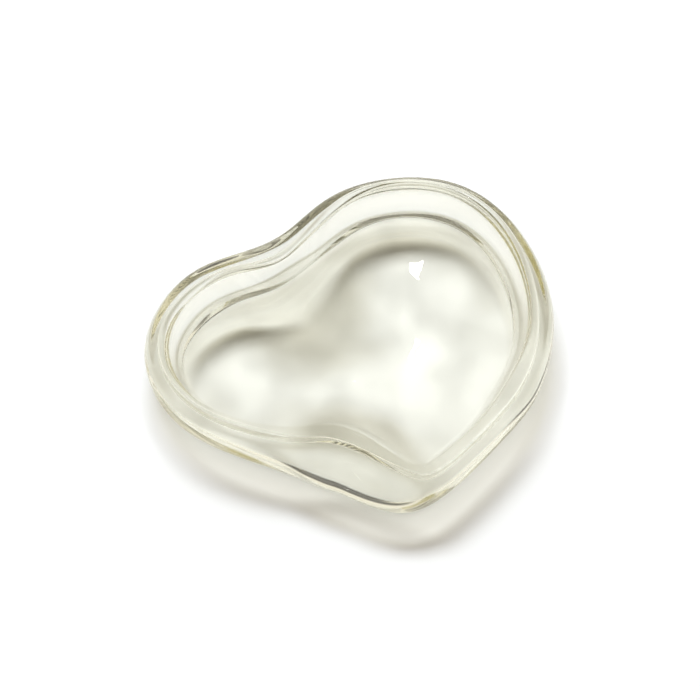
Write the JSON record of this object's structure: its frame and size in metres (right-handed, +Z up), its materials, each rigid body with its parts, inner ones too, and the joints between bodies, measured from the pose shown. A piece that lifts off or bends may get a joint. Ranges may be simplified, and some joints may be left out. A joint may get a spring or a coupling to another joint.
{
  "type": "heart-shaped glass dish",
  "caption": "Open trinket dish cast in clear glass, an uneven heart in plan with a soft cleft, one rounded tip, a thick rounded wall and a flat base.",
  "frame": {"origin": "middle of the overall outline, on the flat base", "axes": "+X towards the large lobe, +Y towards the back of the lobes, +Z up out of the mouth"},
  "size_m": [0.12, 0.1112, 0.0165],
  "materials": {
    "clear_glass": "fire-polished clear glass"
  },
  "bodies": {
    "root": {"heart_dish": "clear_glass"}
  },
  "joints": []
}
